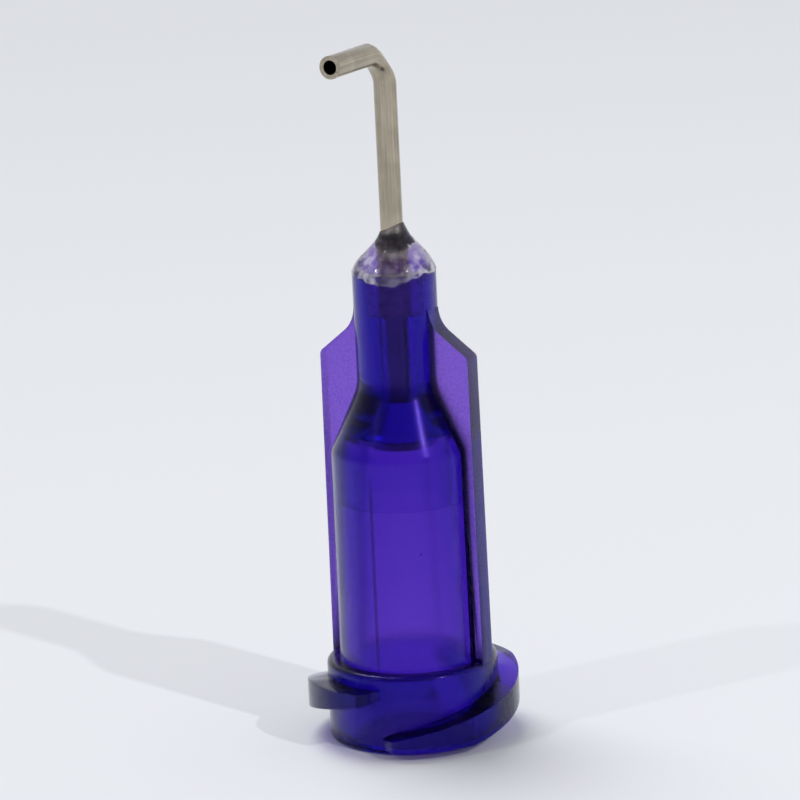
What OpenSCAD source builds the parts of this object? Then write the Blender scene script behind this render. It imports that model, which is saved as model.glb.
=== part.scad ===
// Bent-tip dispensing needle: a moulded luer-lock hub, a bent steel cannula
// and the cured adhesive that holds one in the other.
// Millimetres, +Z up. The hub stands on its socket mouth, which is z = 0,
// and the socket axis is the Z axis.

/* [Socket] */
// Inside diameter of the luer socket at its mouth
mouth_d = 4.3; // [4.2:0.05:4.5]
// Taper of the socket on its diameter, as a share of length
luer_taper = 0.06; // [0.05:0.005:0.07]
// Depth of the tapered part of the socket
socket_depth = 8.8; // [7.5:0.1:9.2]
// Step in from the taper to the relief bore, on the radius
relief_step = 0.12; // [0.05:0.01:0.25]
// Length of the relief bore above the taper
relief_len = 1.7; // [1:0.1:2]
// Height of the funnel that leads from the relief bore to the cannula
funnel_h = 1.1; // [0.8:0.1:1.3]
// Lead-in chamfer at the mouth
mouth_chamfer = 0.12; // [0.05:0.01:0.2]

/* [Collar] */
// Outside diameter of the collar round the mouth
collar_d = 6.3; // [6:0.05:6.7]
// Height of the collar
collar_h = 2.95; // [2.7:0.05:3.4]
// Rounding of the collar's top edge
collar_round = 0.4; // [0.2:0.05:0.5]
// Rounding of the collar's bottom edge
rim_round = 0.15; // [0.05:0.01:0.25]

/* [Lock thread] */
// Diameter over the crests of the lock thread
lock_d = 7.8; // [7.4:0.05:8]
// Advance of one thread in a full turn
thread_lead = 5; // [4.5:0.1:5.5]
// Number of thread starts
thread_starts = 2; // [1:1:2]
// Angle that each thread wraps round the collar
thread_wrap = 180; // [120:5:180]
// Height of the thread's middle line half way along its wrap
thread_mid_z = 1.35; // [1.2:0.05:1.5]
// Axial width of the thread at its crest
crest_w = 1.05; // [0.8:0.05:1.2]
// Axial width of the thread at the collar
root_w = 1.4; // [1.25:0.05:1.7]
// Height of the flat that cuts off the thread's lower side
thread_floor_z = 0.34; // [0.2:0.02:0.5]
// Height of the flat that cuts off the thread's upper side
thread_top_z = 2.42; // [2.2:0.02:2.6]
// Angle over which a thread runs in from the collar
run_in = 9; // [5:1:20]
// Bearing of the first thread's lower end, from +X towards +Y
thread_bearing = -113; // [-180:1:180]

/* [Body] */
// Diameter of the body just above the collar
body_d = 5.3; // [5.1:0.05:5.8]
// Diameter of the body at its shoulder
shoulder_d = 5.2; // [5:0.05:5.6]
// Height of the shoulder, where the cone begins
shoulder_z = 10.75; // [10.4:0.05:11.5]
// Height of the cone between shoulder and neck
cone_h = 2.35; // [2:0.05:3]
// Diameter of the neck
neck_d = 3.04; // [2.6:0.02:3.4]
// Height of the neck's top
neck_top_z = 17.3; // [16.8:0.1:19]
// Blend radius at the shoulder
shoulder_round = 0.7; // [0.3:0.05:0.9]
// Blend radius where the cone runs into the neck
neck_blend = 1.6; // [0.8:0.1:2]

/* [Wings] */
// Span over both wings at the collar
wing_span_low = 6.16; // [6:0.02:6.5]
// Span over both wings at their top corners
wing_span_high = 5.98; // [5.8:0.02:6.4]
// Thickness of a wing
wing_t = 0.8; // [0.5:0.05:1]
// Height of the wings' outer top corners
wing_corner_z = 14.25; // [13.4:0.05:14.6]
// Slope of the wings' top edges, in degrees below level
wing_slope = 38; // [25:1:45]
// Rounding of the outer top corners
wing_corner_round = 0.25; // [0.1:0.05:0.5]
// Fillet between a wing's top edge and the neck
wing_root_fillet = 1.1; // [0.6:0.05:1.3]
// Bearing of the first wing, from +X towards +Y
wing_bearing = -28; // [-180:1:180]

/* [Cannula] */
// Outside diameter of the steel tube
tube_od = 0.82; // [0.7:0.01:0.92]
// Inside diameter of the steel tube
tube_id = 0.51; // [0.4:0.01:0.6]
// Height of the bent leg's axis above the neck
leg_rise = 7.9; // [5:0.1:12]
// Length of the bent leg, from the hub's axis to the tip
leg_len = 3.85; // [2.5:0.05:8]
// Angle of the bend
bend_angle = 93; // [80:1:100]
// Radius of the bend at the tube's centre line
bend_r = 1.1; // [0.9:0.05:1.6]
// Bearing of the bent leg, from +X towards +Y
leg_bearing = -119; // [-180:1:180]

/* [Adhesive] */
// Height that the adhesive climbs above the neck
glue_rise = 1.72; // [1:0.02:2.2]
// Diameter of the adhesive well in the neck
well_d = 1.36; // [1.2:0.02:1.6]
// Depth of the adhesive well
well_depth = 1.6; // [1:0.1:2.4]
// Width of the countersink round the well's mouth, on the radius
well_sink = 0.45; // [0.2:0.05:0.6]
// Thickness of the adhesive's feathered top edge
glue_lip = 0.05; // [0.03:0.01:0.08]

/* [Hidden] */

$fn = 96;

hub_color = "indigo";
steel_color = "silver";
glue_color = "lightgrey";

// Working margin that makes cuts pass right through what they cut
through = 0.5;
// Running clearance round the tube where it passes through the plastic
tube_clear = 0.02;
// Straight pieces in each rounded edge of a turned outline
arc_steps = 8;
// Angle between neighbouring sections of the lock thread
thread_step = 5;
// Depth that thread and wings are rooted inside the wall that carries them
thread_root = 0.3;

mouth_r = mouth_d / 2;
socket_end_r = mouth_r - luer_taper * socket_depth / 2;
relief_r = socket_end_r - relief_step;
relief_top_z = socket_depth + relief_len;
seat_z = relief_top_z + funnel_h;

collar_r = collar_d / 2;
lock_r = lock_d / 2;
body_r = body_d / 2;
shoulder_r = shoulder_d / 2;
neck_r = neck_d / 2;
cone_top_z = shoulder_z + cone_h;

tube_r = tube_od / 2;
tube_hole_r = tube_id / 2;
leg_z = neck_top_z + leg_rise;
well_r = well_d / 2;
well_floor_z = neck_top_z - well_depth;

// Points along a circular arc, both ends included
function arc(cx, cy, r, from, to, steps = arc_steps) =
    [for (i = [0 : steps])
        let (a = from + (to - from) * i / steps)
        [cx + r * cos(a), cy + r * sin(a)]];

// Slope of the cone's side, as an angle from the vertical
cone_lean = atan((shoulder_r - neck_r) / cone_h);
// Length that a blend takes up on each side of the corner it rounds
shoulder_reach = shoulder_round * tan(cone_lean / 2);
neck_reach = neck_blend * tan(cone_lean / 2);

// Outside of the hub, from the axis at the mouth up to the axis at the neck
hub_outline = concat(
    [[0, 0]],
    arc(collar_r - rim_round, rim_round, rim_round, -90, 0),
    arc(collar_r - collar_round, collar_h - collar_round, collar_round, 0, 90),
    [[body_r, collar_h]],
    arc(shoulder_r - shoulder_round, shoulder_z - shoulder_reach, shoulder_round, 0, cone_lean),
    arc(neck_r + neck_blend, cone_top_z + neck_reach, neck_blend, 180 + cone_lean, 180),
    [[neck_r, neck_top_z], [0, neck_top_z]]
);

module socket_cut() {
    // The luer taper, with its lead-in chamfer
    translate([0, 0, -through])
        cylinder(h = socket_depth + through, r1 = mouth_r + luer_taper * through / 2, r2 = socket_end_r);
    translate([0, 0, -through])
        cylinder(h = through + mouth_chamfer, r1 = mouth_r + mouth_chamfer + through, r2 = mouth_r);
    // The relief bore and the funnel up to the cannula
    translate([0, 0, socket_depth - through])
        cylinder(h = relief_len + through, r = relief_r);
    translate([0, 0, relief_top_z])
        cylinder(h = funnel_h, r1 = relief_r, r2 = tube_r + tube_clear);
}

module neck_cut() {
    // The hole that the tube passes through
    translate([0, 0, seat_z - through])
        cylinder(h = neck_top_z - seat_z + 2 * through, r = tube_r + tube_clear);
    // The well that holds the adhesive, and its countersunk mouth
    translate([0, 0, well_floor_z])
        cylinder(h = well_depth + through, r = well_r);
    translate([0, 0, neck_top_z - well_sink])
        cylinder(h = well_sink, r1 = well_r, r2 = well_r + well_sink);
}

// Half of the wing plate's outline, from the axis outwards
wing_low_r = wing_span_low / 2;
wing_high_r = wing_span_high / 2;
wing_lean = atan((wing_low_r - wing_high_r) / (wing_corner_z - collar_h));
wing_foot_z = collar_h - collar_round;
// Height of the top edge's straight line where it would reach the neck
wing_root_z = wing_corner_z + (wing_high_r - neck_r) * tan(wing_slope);
// The corner and fillet arcs touch the straight edges on either side
corner_turn = 90 - wing_slope + wing_lean;
corner_reach = wing_corner_round * tan(corner_turn / 2);
fillet_turn = 90 - wing_slope;
fillet_reach = wing_root_fillet * tan(fillet_turn / 2);
corner_cx = wing_high_r - wing_corner_round * cos(wing_lean) + corner_reach * sin(wing_lean);
corner_cz = wing_corner_z - corner_reach * cos(wing_lean) - wing_corner_round * sin(wing_lean);

wing_outline = concat(
    [[0, wing_foot_z], [wing_low_r, wing_foot_z]],
    arc(corner_cx, corner_cz, wing_corner_round, wing_lean, 90 - wing_slope),
    arc(neck_r + wing_root_fillet, wing_root_z + fillet_reach, wing_root_fillet,
        270 - wing_slope, 180),
    [[0, wing_root_z + fillet_reach]]
);

module wing_plate() {
    rotate([0, 0, wing_bearing])
        rotate([90, 0, 0])
            linear_extrude(height = wing_t, center = true)
                union() {
                    polygon(wing_outline);
                    mirror([1, 0]) polygon(wing_outline);
                }
}

// Section of the lock thread at one angle along its wrap: four corners,
// cut off level at the thread's floor and top, with the crest sunk at the ends
function thread_section(turn, start_angle) =
    let (
        mid = thread_mid_z + thread_lead * (turn - thread_wrap / 2) / 360,
        rise = min(1, turn / run_in, (thread_wrap - turn) / run_in),
        crest_r = collar_r + (lock_r - collar_r) * max(0, rise),
        root_r = collar_r - thread_root,
        bearing = start_angle + turn,
        corner = function (r, z) [
            r * cos(bearing),
            r * sin(bearing),
            min(thread_top_z, max(thread_floor_z, z))
        ]
    )
    [
        corner(root_r, mid - root_w / 2),
        corner(crest_r, mid - crest_w / 2),
        corner(crest_r, mid + crest_w / 2),
        corner(root_r, mid + root_w / 2)
    ];

module lock_thread(start_angle) {
    steps = ceil(thread_wrap / thread_step);
    sections = [for (i = [0 : steps]) thread_section(thread_wrap * i / steps, start_angle)];
    points = [for (section = sections) each section];
    sides = [for (i = [0 : steps - 1], k = [0 : 3])
        let (a = 4 * i + k, b = 4 * i + (k + 1) % 4)
        each [[a, b, b + 4], [a, b + 4, a + 4]]];
    last = 4 * steps;
    ends = [[3, 2, 1, 0], [last, last + 1, last + 2, last + 3]];
    polyhedron(points = points, faces = concat(sides, ends), convexity = 4);
}

module hub() {
    color(hub_color)
        difference() {
            union() {
                rotate_extrude() polygon(hub_outline);
                wing_plate();
                for (i = [0 : thread_starts - 1])
                    lock_thread(thread_bearing + 360 * i / thread_starts);
            }
            socket_cut();
            neck_cut();
        }
}

// Length that the bend takes up on each side of the corner it rounds
bend_reach = bend_r * tan(bend_angle / 2);

module tube_section() {
    difference() {
        circle(r = tube_r);
        circle(r = tube_hole_r);
    }
}

// The tube is one piece of stock: it stands straight up out of the hub,
// turns through the bend and ends square at the tip. All three runs are
// placed from the bend's centre, so their ends meet exactly.
module cannula() {
    bend_start_z = leg_z - bend_reach;
    color(steel_color)
        rotate([0, 0, leg_bearing])
            translate([bend_r, 0, bend_start_z]) {
                translate([-bend_r, 0, seat_z - bend_start_z])
                    linear_extrude(height = bend_start_z - seat_z)
                        tube_section();
                rotate([-90, 0, 0])
                    rotate([0, 0, 180])
                        rotate_extrude(angle = bend_angle)
                            translate([bend_r, 0])
                                tube_section();
                rotate([0, bend_angle, 0])
                    translate([-bend_r, 0, 0])
                        linear_extrude(height = leg_len - bend_reach)
                            tube_section();
            }
}

// Outside of the adhesive above the neck: a shoulder that swells from the
// neck's edge, a straight flank, and a hollow that feathers out on the tube
glue_top_r = tube_r + glue_lip;
glue_run = neck_r - glue_top_r;
glue_steps = 16;
function glue_edge(t) =
    [neck_r - glue_run * (t - sin(360 * t) / 16), neck_top_z + glue_rise * t];

glue_outline = concat(
    [[tube_r, well_floor_z], [well_r, well_floor_z], [well_r, neck_top_z - well_sink]],
    [[well_r + well_sink, neck_top_z]],
    [for (i = [0 : glue_steps]) glue_edge(i / glue_steps)],
    [[tube_r, neck_top_z + glue_rise]]
);

module adhesive() {
    color(glue_color)
        rotate_extrude()
            polygon(glue_outline);
}

hub();
cannula();
adhesive();
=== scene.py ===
import math

import bmesh
import bpy
from mathutils import Matrix, Vector


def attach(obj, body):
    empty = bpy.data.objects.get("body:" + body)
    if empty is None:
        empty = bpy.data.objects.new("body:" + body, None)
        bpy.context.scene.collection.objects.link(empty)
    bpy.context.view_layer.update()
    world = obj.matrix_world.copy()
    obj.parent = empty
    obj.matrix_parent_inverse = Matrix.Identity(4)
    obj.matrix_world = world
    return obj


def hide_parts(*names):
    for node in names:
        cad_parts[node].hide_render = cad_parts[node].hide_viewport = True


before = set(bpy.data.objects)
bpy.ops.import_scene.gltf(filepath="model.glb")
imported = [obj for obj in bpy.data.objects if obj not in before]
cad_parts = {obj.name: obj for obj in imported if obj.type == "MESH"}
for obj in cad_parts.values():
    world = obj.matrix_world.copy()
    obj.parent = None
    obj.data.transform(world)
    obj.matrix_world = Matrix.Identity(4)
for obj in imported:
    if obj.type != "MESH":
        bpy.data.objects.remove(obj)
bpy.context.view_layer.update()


# ---------------------------------------------------------------- hub
# One injection moulding in translucent violet polypropylene: luer socket, lock thread,
# body, neck and two wings. Turned surfaces come glossy from a polished cavity; the wings
# come from a finely eroded one, so they are matt and speckled.

MM = 0.001
WELD = 0.0005 * MM


def linear(hex_colour):
    """An sRGB hex colour as the linear RGBA that a shader socket takes."""
    channels = [int(hex_colour[i:i + 2], 16) / 255 for i in (0, 2, 4)]
    light = [c / 12.92 if c <= 0.04045 else ((c + 0.055) / 1.055) ** 2.4 for c in channels]
    return (*light, 1.0)


def add(tree, kind, settings=None, inputs=None):
    """Adds a node, sets its properties, and links or sets each named input."""
    node = tree.nodes.new(kind)
    for name, value in (settings or {}).items():
        setattr(node, name, value)
    for name, value in (inputs or {}).items():
        if isinstance(value, bpy.types.NodeSocket):
            tree.links.new(value, node.inputs[name])
        else:
            node.inputs[name].default_value = value
    return node


def new_material(name):
    """A named material with an empty tree and its output node."""
    material = bpy.data.materials.new(name)
    material.use_nodes = True
    tree = material.node_tree
    tree.nodes.clear()
    return material, tree, tree.nodes.new("ShaderNodeOutputMaterial")


def smooth_copy(node, name, sharp_angle, shape):
    """The CAD node's form as a welded mesh, each point moved by shape, with crisp edges."""
    form = bmesh.new()
    form.from_mesh(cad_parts[node].data)
    bmesh.ops.remove_doubles(form, verts=form.verts, dist=WELD)
    for vert in form.verts:
        vert.co = Vector(shape(*(vert.co / MM))) * MM
    for face in form.faces:
        face.smooth = True
    for edge in form.edges:
        edge.smooth = edge.is_manifold and edge.calc_face_angle() < sharp_angle
    mesh = bpy.data.meshes.new(name)
    form.to_mesh(mesh)
    form.free()
    piece = bpy.data.objects.new(name, mesh)
    bpy.context.scene.collection.objects.link(piece)
    weighted = piece.modifiers.new("even shading", "WEIGHTED_NORMAL")
    weighted.keep_sharp = True
    return piece


# Polypropylene refracts at 1.49. Its violet dye takes green first, then red, and little blue,
# so thin wings read as lilac and the cone nearly as black. The losses are per millimetre, and
# the density only has to be more than the largest of them.
PP_IOR = 1.49
DYE_LOSS = (1.62, 2.42, 0.42)
DYE_DENSITY = 2.5
SKIN_TINT, GLOSS_TINT = linear("f0e8fb"), linear("6a4cc4")
POLISHED_ROUGH, ERODED_ROUGH = 0.21, 0.36

# The wings are one plate 0.80 mm thick, taken here with 0.01 to spare on each face
WING_BEARING = math.radians(-28)
WING_HALF = 0.41
along_wings = (math.cos(WING_BEARING), math.sin(WING_BEARING), 0)
across_wings = (-math.sin(WING_BEARING), math.cos(WING_BEARING), 0)

hub_material, tree, output = new_material("violet_polypropylene")
place = add(tree, "ShaderNodeTexCoord").outputs["Object"]
height = add(tree, "ShaderNodeSeparateXYZ", inputs={"Vector": place}).outputs["Z"]
outward = {}
for name, axis in (("along", along_wings), ("across", across_wings)):
    side = add(tree, "ShaderNodeVectorMath", {"operation": "DOT_PRODUCT"}, {0: place, 1: axis})
    outward[name] = add(tree, "ShaderNodeMath", {"operation": "ABSOLUTE"},
                        {0: side.outputs["Value"]}).outputs[0]
# A line just under the outer surface, up the body's wall and then in along the cone to the
# neck. Everything farther out than this line is on the outside of the moulding.
BODY_LINE_R, CONE_FOOT = 2.4, 10.5
NECK_LINE_R, CONE_HEAD = 1.35, 12.5
skin = add(tree, "ShaderNodeMapRange", inputs={
    "Value": height, "From Min": CONE_FOOT * MM, "From Max": CONE_HEAD * MM,
    "To Min": BODY_LINE_R * MM, "To Max": NECK_LINE_R * MM}).outputs["Result"]


def band(outer, inner, half_width):
    """A mask that is 1 on the outer skin within half_width of a plane through the axis."""
    near = add(tree, "ShaderNodeMath", {"operation": "LESS_THAN"},
               {0: outward[inner], 1: half_width * MM})
    out = add(tree, "ShaderNodeMath", {"operation": "GREATER_THAN"},
              {0: outward[outer], 1: skin})
    return add(tree, "ShaderNodeMath", {"operation": "MULTIPLY"},
               {0: near.outputs[0], 1: out.outputs[0]}).outputs[0]


wing_skin = band("along", "across", WING_HALF)
# Painted shade: a dark line is painted up the body on two opposite sides, from the collar to the
# shoulder, and fades out at both ends
SHADE_LINE_HALF = 0.065
SHADE_LINE_FOOT, SHADE_LINE_FULL_FROM, SHADE_LINE_FULL_TO, SHADE_LINE_HEAD = 2.9, 3.3, 9.4, 10.4
painted_shade_band = band("across", "along", SHADE_LINE_HALF)
above = add(tree, "ShaderNodeMapRange", inputs={
    "Value": height, "From Min": SHADE_LINE_FOOT * MM, "From Max": SHADE_LINE_FULL_FROM * MM}).outputs["Result"]
below = add(tree, "ShaderNodeMapRange", inputs={
    "Value": height, "From Min": SHADE_LINE_HEAD * MM, "From Max": SHADE_LINE_FULL_TO * MM}).outputs["Result"]
painted_shade_run = add(tree, "ShaderNodeMath", {"operation": "MULTIPLY"},
               {0: above, 1: below}).outputs[0]
painted_shade_line = add(tree, "ShaderNodeMath", {"operation": "MULTIPLY"},
                   {0: painted_shade_band, 1: painted_shade_run}).outputs[0]
# One dark speck of carbon moulded in near the front
SPECK_PLACE, SPECK_R = (0.49, -2.60, 7.35), 0.055
off = add(tree, "ShaderNodeVectorMath", {"operation": "DISTANCE"}, {
    0: place, 1: tuple(part * MM for part in SPECK_PLACE)}).outputs["Value"]
speck = add(tree, "ShaderNodeMath", {"operation": "LESS_THAN"},
            {0: off, 1: SPECK_R * MM}).outputs[0]
# The painted shade line and the real speck, as one mask
shade_line_and_speck = add(tree, "ShaderNodeMath", {"operation": "MAXIMUM"},
           {0: painted_shade_line, 1: speck}).outputs[0]

# The eroded cavity leaves pits of a few hundredths of a millimetre on the wings, drawn here
# 0.09 mm across so that they show. Everywhere else the skin has a long, shallow ripple.
PIT_SIZE, RIPPLE_LENGTH, SKIN_RELIEF = 0.09, 1.1, 0.006
# How dark the painted shade line and the speck make the skin
SHADE_LINE_AND_SPECK_LEVEL = 0.32
pits = add(tree, "ShaderNodeTexNoise", inputs={
    "Vector": place, "Scale": 1 / (PIT_SIZE * MM), "Detail": 2.0})
ripple = add(tree, "ShaderNodeTexNoise", inputs={
    "Vector": place, "Scale": 1 / (RIPPLE_LENGTH * MM), "Detail": 2.0})
relief = add(tree, "ShaderNodeMix", {"data_type": "FLOAT"}, {
    0: wing_skin, 2: ripple.outputs["Fac"], 3: pits.outputs["Fac"]})
bump = add(tree, "ShaderNodeBump", inputs={
    "Height": relief.outputs[0], "Distance": SKIN_RELIEF * MM, "Strength": 0.8})
speckle = add(tree, "ShaderNodeMapRange", inputs={
    "Value": pits.outputs["Fac"], "From Min": 0.35, "From Max": 0.65,
    "To Min": 0.84, "To Max": 1.25})
wing_shade = add(tree, "ShaderNodeMix", {"data_type": "FLOAT"}, {
    0: wing_skin, 2: 1.0, 3: speckle.outputs["Result"]})
shade = add(tree, "ShaderNodeMix", {"data_type": "FLOAT"}, {
    0: shade_line_and_speck, 2: wing_shade.outputs[0], 3: SHADE_LINE_AND_SPECK_LEVEL})
tint = add(tree, "ShaderNodeMix", {"data_type": "RGBA", "blend_type": "MULTIPLY"}, {
    0: 1.0, 6: SKIN_TINT, 7: shade.outputs[0]})
satin = add(tree, "ShaderNodeMapRange", inputs={
    "Value": wing_skin, "To Min": POLISHED_ROUGH, "To Max": ERODED_ROUGH})
surface = add(tree, "ShaderNodeBsdfPrincipled", inputs={
    "Base Color": tint.outputs[2], "IOR": PP_IOR, "Roughness": satin.outputs["Result"],
    "Specular Tint": GLOSS_TINT, "Transmission Weight": 1.0, "Normal": bump.outputs["Normal"],
    "Coat Weight": 0.2, "Coat Roughness": 0.04})
absorb = add(tree, "ShaderNodeVolumeAbsorption", inputs={
    "Color": tuple(1 - loss / DYE_DENSITY for loss in DYE_LOSS) + (1.0,),
    "Density": DYE_DENSITY / MM})
tree.links.new(surface.outputs["BSDF"], output.inputs["Surface"])
tree.links.new(absorb.outputs["Volume"], output.inputs["Volume"])

# The plain bore over the taper ends at BORE_TOP and the tube starts at the seat above it. Both
# go up by LIFT. The last two are how near a point of the collar or the bore is taken from.
BORE_R, BORE_TOP, SEAT, SEAT_R, LIFT = 1.766, 10.5, 11.6, 0.6, 0.75
COLLAR_R, COLLAR_TOP, COLLAR_ROUND = 3.15, 2.95, 0.4
NEAR, NEAR_BORE = 0.01, 0.05


def moulded(x, y, z):
    """Carries the bore a little farther up into the cone, and crisps the collar's top edge."""
    r = math.hypot(x, y)
    at_seat = abs(z - SEAT) < NEAR_BORE and r < SEAT_R
    at_bore_top = abs(z - BORE_TOP) < NEAR_BORE and abs(r - BORE_R) < NEAR_BORE
    in_from_side, in_from_top = COLLAR_R - r, COLLAR_TOP - z
    if at_seat or at_bore_top:
        z += LIFT
    elif all(-NEAR < inset < COLLAR_ROUND + NEAR for inset in (in_from_side, in_from_top)):
        out, z = COLLAR_R - in_from_side / 2, COLLAR_TOP - in_from_top / 2
        x, y = x * out / r, y * out / r
    return x, y, z


hub = smooth_copy("hub", "moulded_hub", math.radians(28), moulded)
hub.data.materials.append(hub_material)
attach(hub, "root")
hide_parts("hub")


# ---------------------------------------------------------------- cannula
# One length of drawn 304 stainless tube, 21 gauge, cut square and bent cold round a small
# former. Drawing leaves fine lengthwise lines and a satin surface.

TUBE_R, HOLE_R = 0.41, 0.255
BEND_R, BEND_TURN, LEG_Z = 1.10, math.radians(93), 25.2
LEG_BEARING = math.radians(-119)
# How far the bend is pressed in on its outside, how it widens for that, and how it tails off
PRESS, SPREAD, PRESS_TAIL = 0.36, 0.25, 1.33
leg_way = Vector((math.cos(LEG_BEARING), math.sin(LEG_BEARING), 0))
tube_side = Vector((-leg_way.y, leg_way.x, 0))
bend_centre = leg_way * BEND_R + Vector((0, 0, LEG_Z - BEND_R * math.tan(BEND_TURN / 2)))


def bent(x, y, z):
    """Presses the tube flat on the outside of its bend, and starts it at the seat."""
    if z < SEAT + NEAR_BORE:
        z = SEAT + LIFT
    reach = Vector((x, y, z)) - bend_centre
    inward, side, up = reach.dot(leg_way), reach.dot(tube_side), reach.z
    turn = math.atan2(up, -inward)
    if 0 < turn < BEND_TURN:
        out = math.hypot(inward, up) - BEND_R
        r = TUBE_R if math.hypot(out, side) > (TUBE_R + HOLE_R) / 2 else HOLE_R
        press = PRESS * math.sin(math.pi * turn / BEND_TURN) ** PRESS_TAIL
        out = BEND_R - r + (out + r) * (1 - press / (2 * r))
        side *= 1 + SPREAD * press
        up = Vector((0, 0, out * math.sin(turn)))
        x, y, z = bend_centre + (leg_way * (-out * math.cos(turn)) + tube_side * side + up)
    return x, y, z


cannula = smooth_copy("cannula", "bent_cannula", math.radians(35), bent)

# Each point's place on the tube as it was drawn, before it was bent: round it, and along it
drawn_place = cannula.data.attributes.new("drawn_place", "FLOAT_VECTOR", "POINT")
for vert in cannula.data.vertices:
    reach = vert.co / MM - bend_centre
    inward, side, up = reach.dot(leg_way), reach.dot(tube_side), reach.z
    turn = min(max(math.atan2(up, -inward), 0), BEND_TURN) if up > 0 else 0
    along = inward * math.sin(turn) + up * math.cos(turn) + BEND_R * turn
    out = -inward * math.cos(turn) + up * math.sin(turn) - BEND_R
    drawn_place.data[vert.index].vector = (out, side, along)

# 304 stainless: a warm grey metal. Drawing through a die leaves fine lines along it, each
# a few hundredths of a millimetre wide, drawn here at 0.07 mm so that they show, and
# handling leaves duller smears about 0.6 mm across.
STEEL_GREY = linear("bfb5a1")
LINE_WIDTH, LINE_LENGTH, LINE_DEPTH, SMEAR_SIZE = 0.07, 3.0, 0.012, 0.625
steel, tree, output = new_material("drawn_stainless")
drawn = add(tree, "ShaderNodeAttribute", {"attribute_name": "drawn_place"}).outputs["Vector"]
stretched = add(tree, "ShaderNodeMapping", inputs={
    "Vector": drawn, "Scale": (1 / LINE_WIDTH, 1 / LINE_WIDTH, 1 / LINE_LENGTH)})
lines = add(tree, "ShaderNodeTexNoise", inputs={
    "Vector": stretched.outputs["Vector"], "Scale": 1.0, "Detail": 2.0})
smear = add(tree, "ShaderNodeTexNoise", inputs={
    "Vector": drawn, "Scale": 1 / SMEAR_SIZE, "Detail": 3.0})
tone = add(tree, "ShaderNodeMapRange", inputs={
    "Value": lines.outputs["Fac"], "From Min": 0.3, "From Max": 0.7, "To Min": 0.70, "To Max": 1.0})
worn = add(tree, "ShaderNodeMapRange", inputs={
    "Value": smear.outputs["Fac"], "From Min": 0.35, "From Max": 0.7,
    "To Min": 0.78, "To Max": 1.0})
shade = add(tree, "ShaderNodeMath", {"operation": "MULTIPLY"},
            {0: tone.outputs["Result"], 1: worn.outputs["Result"]})
colour = add(tree, "ShaderNodeMix", {"data_type": "RGBA", "blend_type": "MULTIPLY"}, {
    0: 1.0, 6: STEEL_GREY, 7: shade.outputs[0]})
satin = add(tree, "ShaderNodeMapRange", inputs={
    "Value": smear.outputs["Fac"], "From Min": 0.3, "From Max": 0.7,
    "To Min": 0.14, "To Max": 0.26})
scratches = add(tree, "ShaderNodeBump", inputs={
    "Height": lines.outputs["Fac"], "Distance": LINE_DEPTH * MM, "Strength": 0.7})
surface = add(tree, "ShaderNodeBsdfPrincipled", inputs={
    "Base Color": colour.outputs[2], "Metallic": 1.0, "Roughness": satin.outputs["Result"],
    "Normal": scratches.outputs["Normal"]})
tree.links.new(surface.outputs["BSDF"], output.inputs["Surface"])

cannula.data.materials.append(steel)
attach(cannula, "root")
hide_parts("cannula")


# ---------------------------------------------------------------- adhesive
# Clear adhesive that holds the tube. It was run into the well of the neck, climbed the tube
# as a cone and crept a little way down outside the neck, and it cured there. It wets both.

NECK_TOP, NECK_R = 17.3, 1.52
WELL_FLOOR, WELL_R, WELL_RIM, WELL_SINK = 15.7, 0.68, 1.13, 0.45
GLUE_RISE, GLUE_LEAN = 1.70, 0.16
# How far it laps into what it wets, and how far its edge stands off the neck
WET, PROUD = 0.01, 0.008
SEGMENTS, FLANK_RINGS = 96, 14
# Where it ran down outside the neck: the bearing, how far down, and the degrees to each side
RUNS = ((-101, 0.34, 55), (170, 0.10, 60))
# Air bubbles in the cone: the bearing, the distance from the axis, the height and the radius
BUBBLES = ((-160, 1.16, 17.62, 0.055), (-150, 1.22, 17.52, 0.04), (-171, 1.05, 17.72, 0.035),
           (-140, 1.2, 17.45, 0.03), (-38, 1.02, 17.85, 0.05), (-25, 1.1, 17.62, 0.04),
           (-60, 1.15, 17.5, 0.03), (150, 1.1, 17.6, 0.05))


def angle_from(bearing, centre):
    """How far one bearing lies from another, in degrees."""
    return abs((bearing - centre + 180) % 360 - 180)


def glue_profile(bearing):
    """Outside of the adhesive at one bearing, from the well's floor up to the tube."""
    wander = (0.5 * math.sin(math.radians(3 * bearing + 40))
              + 0.5 * math.sin(math.radians(7 * bearing - 70)))
    run_down = sum(drop * max(0, 1 - angle_from(bearing, centre) / spread)
                   for centre, drop, spread in RUNS)
    ragged = math.sin(math.radians(11 * bearing)) + math.sin(math.radians(19 * bearing + 50))
    foot = NECK_TOP - 0.06 - run_down - 0.03 * wander - 0.025 * ragged
    rise = GLUE_RISE + GLUE_LEAN * math.cos(math.radians(bearing + 20)) - 0.14
    top_r = TUBE_R + 0.03
    points = [(TUBE_R - 2 * WET, WELL_FLOOR - WET), (WELL_R + WET, WELL_FLOOR - WET),
              (WELL_R + WET, NECK_TOP - WELL_SINK), (WELL_RIM, NECK_TOP - WET),
              (NECK_R - WET, NECK_TOP - WET), (NECK_R - WET, foot), (NECK_R + PROUD, foot + 0.02)]
    for i in range(FLANK_RINGS + 1):
        t = i / FLANK_RINGS
        r = NECK_R - (NECK_R - top_r) * (t - math.sin(math.tau * t) / 16)
        if i == 0:
            r += PROUD
        points.append((r + 0.012 * wander * math.sin(math.pi * t),
                       NECK_TOP + 0.04 * (1 - t) + rise * t))
    points.append((TUBE_R - 2 * WET, NECK_TOP + rise))
    return points


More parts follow.
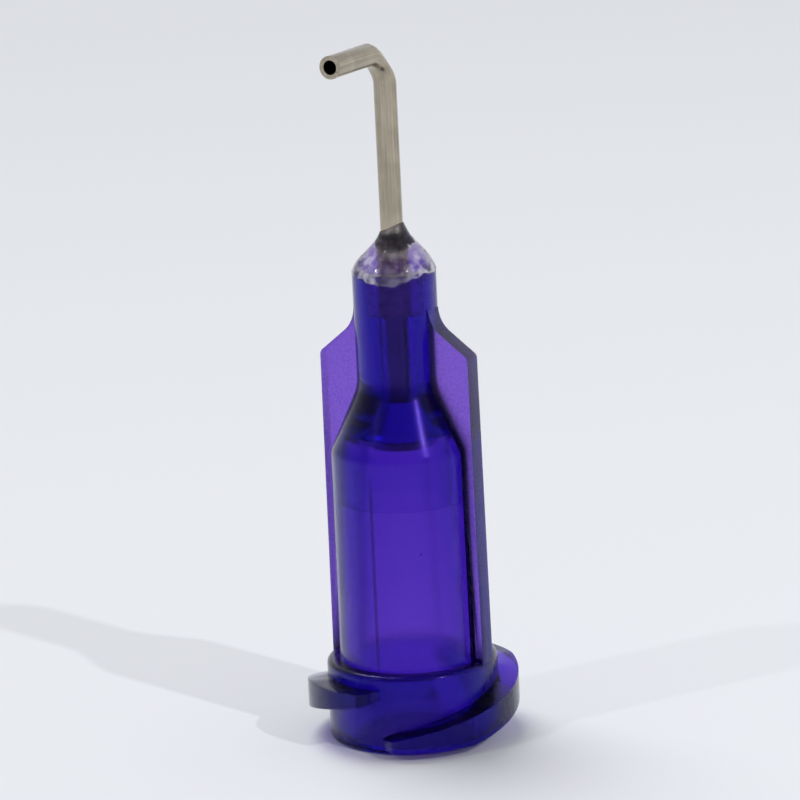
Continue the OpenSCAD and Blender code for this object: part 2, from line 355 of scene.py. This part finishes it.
glue_form = bmesh.new()
rings = []
for i in range(SEGMENTS):
    bearing = 360 * i / SEGMENTS
    east, north = math.cos(math.radians(bearing)), math.sin(math.radians(bearing))
    rings.append([glue_form.verts.new((r * east * MM, r * north * MM, z * MM))
                  for r, z in glue_profile(bearing)])
for i, ring in enumerate(rings):
    following = rings[(i + 1) % SEGMENTS]
    for k in range(len(ring)):
        j = (k + 1) % len(ring)
        face = glue_form.faces.new((ring[k], following[k], following[j], ring[j]))
        face.smooth = True
for bearing, r, z, size in BUBBLES:
    east, north = math.cos(math.radians(bearing)), math.sin(math.radians(bearing))
    centre = Matrix.Translation(Vector((r * east, r * north, z)) * MM)
    bubble = bmesh.ops.create_icosphere(glue_form, subdivisions=2, radius=size * MM, matrix=centre)
    skins = {face for vert in bubble["verts"] for face in vert.link_faces}
    for face in skins:
        face.smooth = True
        face.normal_flip()
for edge in glue_form.edges:
    edge.smooth = edge.is_manifold and edge.calc_face_angle() < math.radians(40)
glue_mesh = bpy.data.meshes.new("adhesive_cone")
glue_form.to_mesh(glue_mesh)
glue_form.free()
adhesive = bpy.data.objects.new("adhesive_cone", glue_mesh)
bpy.context.scene.collection.objects.link(adhesive)

# A clear one-part adhesive: it cures water-white and glassy, with a skin that shrinks in
# soft lumps about 0.4 mm across, and a grey cast where it is thick.
LUMP_SIZE, LUMP_HEIGHT, WHITE_PATCH_SIZE = 0.4, 0.05, 0.35
GLUE_IOR, GLUE_LOSS = 1.48, 0.22
WHITE_PATCH_TOP, WHITE_PATCH_FULL = 18.35, 17.9
# How far out to the left and right the painted highlight reaches its full strength
HIGHLIGHT_FLANK_FROM, HIGHLIGHT_FLANK_FULL = 0.45, 0.75
glue, tree, output = new_material("cured_adhesive")
place = add(tree, "ShaderNodeTexCoord").outputs["Object"]
lumps = add(tree, "ShaderNodeTexNoise", inputs={
    "Vector": place, "Scale": 1 / (LUMP_SIZE * MM), "Detail": 3.0})
bump = add(tree, "ShaderNodeBump", inputs={
    "Height": lumps.outputs["Fac"], "Distance": LUMP_HEIGHT * MM, "Strength": 0.7})
# Fine air that it took in turns it white in patches low down; the patches are made much stronger at
# its left and right sides as a painted highlight
spot = add(tree, "ShaderNodeSeparateXYZ", inputs={"Vector": place})
low = add(tree, "ShaderNodeMapRange", inputs={
    "Value": spot.outputs["Z"],
    "From Min": WHITE_PATCH_TOP * MM, "From Max": WHITE_PATCH_FULL * MM}).outputs["Result"]
sideways = add(tree, "ShaderNodeMath", {"operation": "ABSOLUTE"}, {0: spot.outputs["X"]})
highlight_flanks = add(tree, "ShaderNodeMapRange", inputs={
    "Value": sideways.outputs[0], "From Min": HIGHLIGHT_FLANK_FROM * MM, "From Max": HIGHLIGHT_FLANK_FULL * MM,
    "To Min": 0.22, "To Max": 0.85}).outputs["Result"]
white_patch_noise = add(tree, "ShaderNodeTexNoise", inputs={
    "Vector": place, "Scale": 1 / (WHITE_PATCH_SIZE * MM), "Detail": 4.0})
patches = add(tree, "ShaderNodeMapRange", inputs={
    "Value": white_patch_noise.outputs["Fac"], "From Min": 0.38, "From Max": 0.62}).outputs["Result"]
froth_and_highlight = add(tree, "ShaderNodeMath", {"operation": "MULTIPLY"},
             {0: low, 1: patches}).outputs[0]
# White froth patches, made stronger at the left and right sides as painted highlight
froth_and_highlight_sides = add(tree, "ShaderNodeMath", {"operation": "MULTIPLY"},
           {0: froth_and_highlight, 1: highlight_flanks}).outputs[0]
clear = add(tree, "ShaderNodeMapRange", inputs={
    "Value": froth_and_highlight_sides, "To Min": 1.0, "To Max": 0.35}).outputs["Result"]
surface = add(tree, "ShaderNodeBsdfPrincipled", inputs={
    "Base Color": linear("e9e4f2"), "IOR": GLUE_IOR, "Roughness": 0.07,
    "Transmission Weight": clear, "Normal": bump.outputs["Normal"]})
cast = add(tree, "ShaderNodeVolumeAbsorption", inputs={
    "Color": linear("b9b2c4"), "Density": GLUE_LOSS / MM})
tree.links.new(surface.outputs["BSDF"], output.inputs["Surface"])
tree.links.new(cast.outputs["Volume"], output.inputs["Volume"])

adhesive.data.materials.append(glue)
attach(adhesive, "root")
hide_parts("adhesive")


# ---------------------------------------------------------------- floor
# A plain pale sheet of matt paper, laid flat under the hub's mouth. It runs on past the view
# on every side.

SHEET_HALF = 1.5
floor_mesh = bpy.data.meshes.new("floor")
corners = [(east * SHEET_HALF, north * SHEET_HALF, 0)
           for east, north in ((-1, -1), (1, -1), (1, 1), (-1, 1))]
floor_mesh.from_pydata(corners, [], [(0, 1, 2, 3)])
floor = bpy.data.objects.new("floor", floor_mesh)
bpy.context.scene.collection.objects.link(floor)
paper, tree, output = new_material("pale_paper")
surface = add(tree, "ShaderNodeBsdfPrincipled", inputs={
    "Base Color": linear("e6e8ec"), "Roughness": 0.9, "Specular IOR Level": 0.1})
tree.links.new(surface.outputs["BSDF"], output.inputs["Surface"])
floor_mesh.materials.append(paper)


# ---------------------------------------------------------------- light
# A pale studio all round, brighter low down and towards the back on the right, with one broad
# light high at the back left. Two small lamps in front put the glints on the hub.

LOW_LEVEL, HIGH_LEVEL = 0.78, 0.22
LEAN = (0.40, 0.38, 0.0)
world = bpy.data.worlds.new("studio")
bpy.context.scene.world = world
world.use_nodes = True
sky = world.node_tree
way = add(sky, "ShaderNodeTexCoord").outputs["Generated"]
rise = add(sky, "ShaderNodeSeparateXYZ", inputs={"Vector": way}).outputs["Z"]
strength = add(sky, "ShaderNodeMapRange", inputs={
    "Value": rise, "From Min": 0.0, "From Max": 1.0, "To Min": LOW_LEVEL, "To Max": HIGH_LEVEL})
backdrop = sky.nodes["Background"]
backdrop.inputs["Color"].default_value = linear("f2f3f7")
lean = add(sky, "ShaderNodeVectorMath", {"operation": "DOT_PRODUCT"}, {0: way, 1: LEAN})
swing = add(sky, "ShaderNodeMath", {"operation": "ADD"}, {0: lean.outputs["Value"], 1: 1.0})
level = add(sky, "ShaderNodeMath", {"operation": "MULTIPLY"}, {
    0: strength.outputs["Result"], 1: swing.outputs[0]})
sky.links.new(level.outputs[0], backdrop.inputs["Strength"])

overhead = bpy.data.lights.new("overhead", "SUN")
overhead.energy = 1.75
overhead.angle = math.radians(35)
overhead_holder = bpy.data.objects.new("overhead", overhead)
overhead_holder.rotation_euler = (math.radians(-22), math.radians(-14), 0)
bpy.context.scene.collection.objects.link(overhead_holder)


LAMP_DISTANCE, HUB_MIDDLE = 0.40, 10.0


def small_lamp(name, bearing, height, size, watts):
    """A square lamp, its bearing and height in degrees, aimed at the middle of the hub."""
    lamp = bpy.data.lights.new(name, "AREA")
    lamp.size = size
    lamp.energy = watts
    holder = bpy.data.objects.new(name, lamp)
    turn, lift = math.radians(bearing), math.radians(height)
    level_part = math.cos(lift)
    away = Vector((math.cos(turn) * level_part, math.sin(turn) * level_part, math.sin(lift)))
    holder.location = Vector((0, 0, HUB_MIDDLE * MM)) + away * LAMP_DISTANCE
    holder.rotation_euler = (-away).to_track_quat("-Z", "Y").to_euler()
    bpy.context.scene.collection.objects.link(holder)


small_lamp("right lamp", -47, 36, 0.008, 0.36)
small_lamp("left lamp", -150, 38, 0.012, 0.14)


# ---------------------------------------------------------------- camera
# In front, looking down on the hub at about 12 degrees through a long lens, and rolled a
# little so that the hub leans left. Places in millimetres, the roll in radians.

CAMERA_DISTANCE, CAMERA_HEIGHT = 110.0, 36.0
AIM_SIDE, AIM_HEIGHT = -0.002, 12.494
ROLL = -0.0482
LENS, SENSOR = 139.5, 36.0

camera_data = bpy.data.cameras.new("camera")
camera_data.lens = LENS
camera_data.sensor_width = SENSOR
camera_data.clip_start = 0.005
camera = bpy.data.objects.new("camera", camera_data)
camera.location = (0, -CAMERA_DISTANCE * MM, CAMERA_HEIGHT * MM)
aim = Vector((AIM_SIDE * MM, 0, AIM_HEIGHT * MM)) - camera.location
facing = aim.to_track_quat("-Z", "Y").to_matrix()
camera.rotation_euler = (facing @ Matrix.Rotation(ROLL, 3, "Z")).to_euler()
bpy.context.scene.collection.objects.link(camera)
bpy.context.scene.camera = camera
bpy.context.scene.view_settings.view_transform = "Standard"
